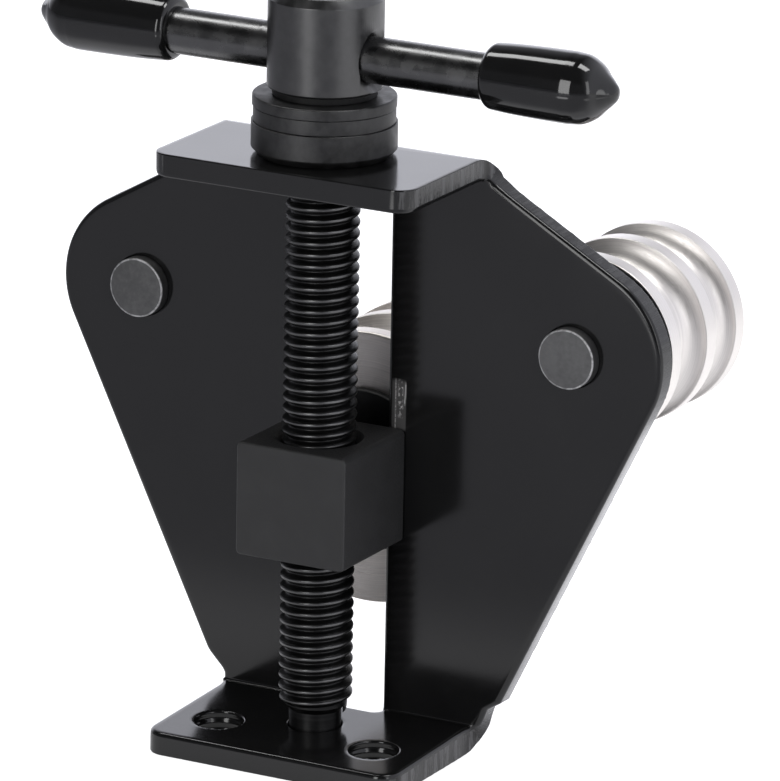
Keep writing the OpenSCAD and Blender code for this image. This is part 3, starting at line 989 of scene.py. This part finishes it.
def build_bar():
    """Cross bar, staked beside the hub."""
    bevel = 0.4

    def stake(a, s):
        """Small dents from the punch that holds the bar, on its left side by the hub."""
        near = math.exp(-((s + 7.0) / 0.22) ** 2)
        turn = (a - 0.95 * math.pi + math.pi) % (2 * math.pi) - math.pi
        rows = 0.5 + 0.5 * math.cos(turn * 9)
        return 0.09 * near * rows * math.exp(-(turn / 0.7) ** 2)

    stations = [-BAR_HALF + bevel] + [-9 + 0.15 * i for i in range(121)] + [BAR_HALF - bevel]
    rod = [(0, -BAR_HALF), (BAR_R - bevel, -BAR_HALF)] + [(BAR_R, s) for s in stations]
    rod += [(BAR_R - bevel, BAR_HALF), (0, BAR_HALF)]
    bar = lathe("handle_bar_staked", rod, "x", (0, SCREW_Y, BAR_Z), [bar_steel], push=stake)
    dress(bar, "screw", "oxide_steel", "handle_bar")


def grip_profile(length):
    """Dip-moulded cap: rounded lip, slow swell and a bullet nose."""
    r = GRIP_R
    lip = 0.9
    lip_r = r * 0.93
    mouth = 0.12
    hole = BAR_R - GRIP_HIGH - FIT
    near = [(0.0, 1.2), (hole, 1.2)] + arc(hole + mouth, mouth, mouth, 180, 270, 3)
    near += arc(lip_r - lip, lip, lip, -90, 0, 10)
    knots = [(lip_r, lip), (r * 0.965, 3.0), (r * 0.99, 6.0)]
    nose = ((1.0, 5.8), (0.985, 4.7), (0.935, 3.6), (0.765, 2.4),
            (0.54, 1.5), (0.36, 0.75), (0.2, 0.2), (0.0, 0.0))
    knots += [(r * share, length - back) for share, back in nose]
    return near + smooth_line(knots, 8)[1:]


def build_grips():
    """Vinyl grips, set a little above the bar's axis."""
    for side, sign in (("left", -1), ("right", 1)):
        length = GRIP_LENGTHS[side]
        profile = [(radius, sign * s) for radius, s in grip_profile(length)]
        origin = (sign * (GRIP_END - length), SCREW_Y, BAR_Z + GRIP_HIGH)
        grip = lathe("grip_" + side + "_dipped", profile, "x", origin, [vinyl], 128, angle=60)
        dress(grip, "screw", "vinyl", "grip_" + side)


# Nut block with its axle and guide washer

def build_block():
    """Square block with soft front edges and a countersunk bore for the screw."""
    front_break = 0.28
    back_break = 0.15
    corner = 0.6
    rows = [(w, BLOCK_FRONT + d) for w, d in quarter(front_break, front_break, 4)]
    rows += [(0.0, BLOCK_BACK - back_break), (back_break, BLOCK_BACK)]
    bm = bmesh.new()
    rings = []
    for amount, y in rows:
        w = BLOCK_HALF_W - amount
        h = BLOCK_HALF_H - amount
        loop = rounded_box(-w, -h, w, h, max(corner - amount, 0.2))
        rings.append([bm.verts.new((x, y, BLOCK_Z + z)) for x, z in loop])
    bridge(bm, rings)
    bm.faces.new(rings[0])
    bm.faces.new(list(reversed(rings[-1])))
    block = finish_mesh("nut_block_bar", bm, [block_black], 30)
    bore = SCREW_R + FIT
    flare = 5.2
    high = BLOCK_HALF_H
    beyond = 9
    drill = [(0, -beyond), (flare, -beyond), (flare, -high - 0.5), (bore, -high + 0.9),
             (bore, high - 0.9), (flare, high + 0.5), (flare, beyond), (0, beyond)]
    cutter = lathe("block_cutter", drill, "z", (0, SCREW_Y, BLOCK_Z), [block_black])
    dress(cut(block, [cutter]), "nut_block", "black_oxide_block", "nut_block")


def clip_end(r):
    """Section of a shaft's rear end, with the groove that its snap ring sits in."""
    neck = r - CLIP_GROOVE
    return [(r, CLIP_Y), (neck, CLIP_Y), (neck, CLIP_BACK), (r, CLIP_BACK), (r, AXLE_END - 0.3),
            (r - 0.3, AXLE_END)]


def build_axle():
    """Turned axle behind the block, with its tongue in the slot, and the washer that guides it."""
    start = BLOCK_BACK - 0.5
    line = [(0, start), (TONGUE_R, start), (TONGUE_R, GUIDE_Y), (AXLE_R, GUIDE_Y)]
    line += clip_end(AXLE_R) + [(1.1, AXLE_END), (0, AXLE_END - 0.55)]
    profile = fillet(line, [0, 0.05, 0.05, 0.05, 0.03, 0.03, 0.05, 0.1, 0.1, 0.05], 3)
    axle = lathe("nut_block_axle", profile, "y", (0, 0, BLOCK_Z), [pin_axle])
    dress(axle, "nut_block", "black_oxide_block")
    washer = washer_profile(GUIDE_R, AXLE_R, ROLLER_Y - FIT - GUIDE_Y, 0.15, 0.15)
    guide = lathe("guide_washer_turned", washer, "y", (0, GUIDE_Y, BLOCK_Z), [washer_black], 128)
    dress(guide, "nut_block", "black_oxide_block", "guide_washer")


# Grooved wheels, their pins, spacers and clips

def wheel_profile(r, bore):
    """Section of a wheel with a wide groove by the plate and a narrow one behind it."""
    soft = WHEEL_BREAK
    line = [(bore + soft, 0.0), (r, 0.0)]
    for centre, g in ((RIM + WIDE_R, WIDE_R), (2 * RIM + 2 * WIDE_R + NARROW_R, NARROW_R)):
        edge = math.degrees(math.asin(GROOVE_LIFT / g))
        line += arc(r + GROOVE_LIFT, centre, g, 270 - edge, 90 + edge, 28)
    line += [(r, WHEEL_W), (bore + soft, WHEEL_W)]
    radii = [soft if abs(p[0] - r) < TINY else 0.0 for p in line[1:-1]]
    return [(bore, soft)] + fillet(line, radii) + [(bore, WHEEL_W - soft), (bore, soft)]


def build_wheel(node, x, z, r, bore, mats):
    """A wheel on its own body; a second material, where there is one, is painted shade on its face by the
    plate.
    """
    def by_plate(p, q):
        return int(len(mats) > 1 and max(p[1], q[1]) < PAINTED_SHADE_DEPTH)

    obj = lathe(node + "_turned", wheel_profile(r, bore), "y", (x, ROLLER_Y, z), mats, 160,
                index=by_plate, angle=40)
    dress(obj, node, "nickel", node)


def build_pin(side, x):
    """Roller pin pressed into the plate, and the spacer on it."""
    front = PLATE_Y - PIN_PROUD
    line = [(0, front), (PIN_R - 0.12, front), (PIN_R, front + 0.1)] + clip_end(PIN_R) + [(0, AXLE_END)]
    profile = fillet(line, [0.06, 0.06, 0, 0, 0, 0, 0.1, 0.1])
    pin = lathe("roller_pin_" + side + "_turned", profile, "y", (x, 0, PIN_Z), [pin_steel])
    dress(pin, "frame", "oxide_steel", "roller_pin_" + side)
    washer = washer_profile(SPACER_R, PIN_R, SPACER_T, 0.15, 0.15)
    place = (x, PLATE_BACK, PIN_Z)
    spacer = lathe("roller_spacer_" + side + "_turned", washer, "y", place, [washer_black])
    dress(spacer, "frame", "oxide_steel", "roller_spacer_" + side)


def build_clip(node, shaft, x, z, body):
    """Snap ring with eyelets: a tapered bow that is widest opposite its gap."""
    inner = shaft - CLIP_GROOVE
    n = 64
    gap = math.radians(13)
    soft = 0.1
    eye_r = 0.42
    bm = bmesh.new()

    def angle(t):
        return math.pi / 2 + gap + (2 * math.pi - 2 * gap) * t

    def spot(r, t, y):
        return (x + r * math.cos(angle(t)), CLIP_Y + y, z + r * math.sin(angle(t)))

    rings = []
    for amount, y in ((soft, 0.0), (0.0, soft), (0.0, CLIP_T - soft), (soft, CLIP_T)):
        near = []
        far = []
        for i in range(n + 1):
            t = i / n
            bow = 0.95 + 0.45 * math.sin(math.pi * t)
            lug = 0.75 * max(math.exp(-((t - end) / 0.03) ** 2) for end in (0.025, 0.975))
            near.append(bm.verts.new(spot(inner + amount * 0.5, t, y)))
            far.append(bm.verts.new(spot(inner + bow + lug - amount, t, y)))
        rings.append(far + near[::-1])
    bridge(bm, rings)
    for ring in (rings[0], rings[-1]):
        for i in range(n):
            bm.faces.new((ring[i], ring[i + 1], ring[-2 - i], ring[-1 - i]))
    obj = finish_mesh(node + "_sprung", bm, [spring_black], 40)
    hole = [(0, -1), (eye_r, -1), (eye_r, 2), (0, 2)]
    eyes = [lathe("eye_cutter", hole, "y", spot(inner + 0.92, t, 0), [spring_black], 24)
            for t in (0.03, 0.97)]
    dress(cut(obj, eyes), body, "spring_steel", node)


build_frame()
build_thread()
build_screw_core()
build_stack()
build_hub()
build_bar()
build_grips()
build_block()
build_axle()
build_wheel("former", 0, BLOCK_Z, FORMER_R, AXLE_R + FIT, [nickel_former])
build_clip("former_clip", AXLE_R, 0, BLOCK_Z, "nut_block")
for roller_side, roller_x in ROLLER_SIDES.items():
    # Each roller: its nickel, and painted shade on its face by the plate.
    finish = [roller_material(roller_side), roller_face_painted_shade]
    build_wheel("roller_" + roller_side, roller_x, PIN_Z, ROLLER_R, PIN_R + FIT, finish)
    build_pin(roller_side, roller_x)
    build_clip("roller_clip_" + roller_side, PIN_R, roller_x, PIN_Z, "frame")


# Studio, in metres: floor, world, lamps and camera

FLOOR_HALF = 2.0
FLOOR_Z = -0.00005
FLOOR_SEEN = 0.9
LIGHT_POOLS = (((-0.024, -0.22), 3.0), ((0.19, -0.11), 1.1))
LAMPS = (("top_left", (-0.24, 0.03, 0.55), (-0.24, 0.031, 0.04), 0.30, 0.12, 0.95),
         ("top_right", (0.16, 0.03, 0.55), (0.16, 0.031, 0.04), 0.20, 0.13, 0.72),
         ("left_box", (-0.06, -0.56, 0.22), (0, 0.01, 0.05), 0.17, 0.42, 1.1),
         ("right_box", (0.48, -0.29, 0.22), (0, 0.01, 0.05), 0.10, 0.42, 0.30))
IMAGE_W = 780.0
SENSOR_W = 36.0

scene = bpy.context.scene
scene.view_settings.view_transform = "Standard"


def build_floor():
    """Pale floor, white to the camera; glossy surfaces mirror a graded glow with two bright pools."""
    bm = bmesh.new()
    bmesh.ops.create_grid(bm, x_segments=1, y_segments=1, size=FLOOR_HALF)
    mesh = bpy.data.meshes.new("studio_floor")
    bm.to_mesh(mesh)
    bm.free()
    floor = bpy.data.objects.new("studio_floor", mesh)
    floor.location = (0, 0, FLOOR_Z)
    scene.collection.objects.link(floor)
    n = material_nodes("studio_floor")
    mesh.materials.append(n.set(Base_Color=(0.57, 0.57, 0.60, 1), Roughness=0.9))
    x, y, _ = n.xyz()
    far = n.ramp(n.weighted(x, 0.5, y, 0.85), -0.02, 0.07, 0.0, 0.75)
    around = n.ramp(n.apart(x, y, (0.0, 0.0)), 0.05, 0.13, 0.5, 0.0)
    light = n.most(far, n.times(around, n.ramp(y, -0.045, -0.01)))
    for centre, strength in LIGHT_POOLS:
        light = n.most(light, n.ramp(n.apart(x, y, centre), 0.02, 0.05, strength, 0.0))
    path = n.new("LightPath").outputs
    seen = n.times(path["Is Camera Ray"], FLOOR_SEEN)
    bounced = n.math("MINIMUM", n.plus(path["Is Glossy Ray"], path["Is Transmission Ray"]), 1.0)
    glow = n.new("Emission")
    n.link(n.plus(seen, n.times(bounced, light)), glow.inputs["Strength"])
    add = n.new("AddShader")
    n.link(n.tree.nodes["Principled BSDF"].outputs[0], add.inputs[0])
    n.link(glow.outputs[0], add.inputs[1])
    n.link(add.outputs[0], n.tree.nodes["Material Output"].inputs["Surface"])


def build_world():
    """Pale to the camera; else a soft studio, bright behind and to the right, with a dark front."""
    scene.world = bpy.data.worlds.new("studio")
    n = Nodes(scene.world, "Generated")

    def wall(direction, lo, hi, dim, bright):
        """Light that grows towards a direction."""
        dot = n.new("VectorMath")
        dot.operation = "DOT_PRODUCT"
        dot.inputs[1].default_value = Vector(direction).normalized()
        n.link(n.coord, dot.inputs[0])
        return n.ramp(dot.outputs["Value"], lo, hi, dim, bright)

    back = wall((-0.45, 0.85, 0.0), 0.40, 0.93, 0.12, 1.7)
    below_ceiling = wall((0, 0, 1), 0.33, 0.56, 1.0, 0.22)
    right = wall((0.85, 0.45, 0.0), 0.10, 0.66, 0.0, 0.95)
    room = n.tree.nodes["Background"]
    room.inputs["Color"].default_value = (0.97, 0.98, 1.07, 1)
    n.link(n.most(n.times(back, below_ceiling), right), room.inputs["Strength"])
    pale = n.new("Background")
    mix = n.new("MixShader")
    n.link(n.new("LightPath").outputs["Is Camera Ray"], mix.inputs[0])
    n.link(room.outputs[0], mix.inputs[1])
    n.link(pale.outputs[0], mix.inputs[2])
    n.link(mix.outputs[0], n.tree.nodes["World Output"].inputs["Surface"])


def build_lamp(name, place, aim, wide, tall, watts):
    """An area lamp that faces a point."""
    data = bpy.data.lights.new(name, "AREA")
    data.energy = watts
    data.shape = "RECTANGLE"
    data.size = wide
    data.size_y = tall
    obj = bpy.data.objects.new(name, data)
    scene.collection.objects.link(obj)
    obj.location = place
    obj.rotation_mode = "QUATERNION"
    obj.rotation_quaternion = (Vector(aim) - Vector(place)).to_track_quat("-Z", "Y")


def build_camera():
    """Camera solved from the photograph, in units of a tenth of the screw's diameter."""
    unit = 0.2 * SCREW_R * MM
    focal_pixels = 8149.0
    az = math.radians(28.33)
    el = math.radians(16.43)
    roll = math.radians(1.06)
    aside = 9.32
    height = 50.64
    distance = 1087.8
    back = Vector((math.sin(az) * math.cos(el), -math.cos(az) * math.cos(el), math.sin(el)))
    right = Vector((math.cos(az), math.sin(az), 0))
    up = right.cross(-back)
    screw_axis = Vector((0, SCREW_Y * MM, 0))
    place = (right * aside + Vector((0, 0, height)) + back * distance) * unit + screw_axis
    turned_right = right * math.cos(roll) + up * math.sin(roll)
    turned_up = up * math.cos(roll) - right * math.sin(roll)
    data = bpy.data.cameras.new("camera")
    data.sensor_fit = "HORIZONTAL"
    data.sensor_width = SENSOR_W
    data.lens = focal_pixels * SENSOR_W / IMAGE_W
    data.clip_start = 0.05
    data.clip_end = 20.0
    camera = bpy.data.objects.new("camera", data)
    scene.collection.objects.link(camera)
    turn = Matrix((turned_right, turned_up, back)).transposed()
    camera.matrix_world = Matrix.Translation(place) @ turn.to_4x4()
    scene.camera = camera


build_floor()
build_world()
for row in LAMPS:
    build_lamp(*row)
build_camera()
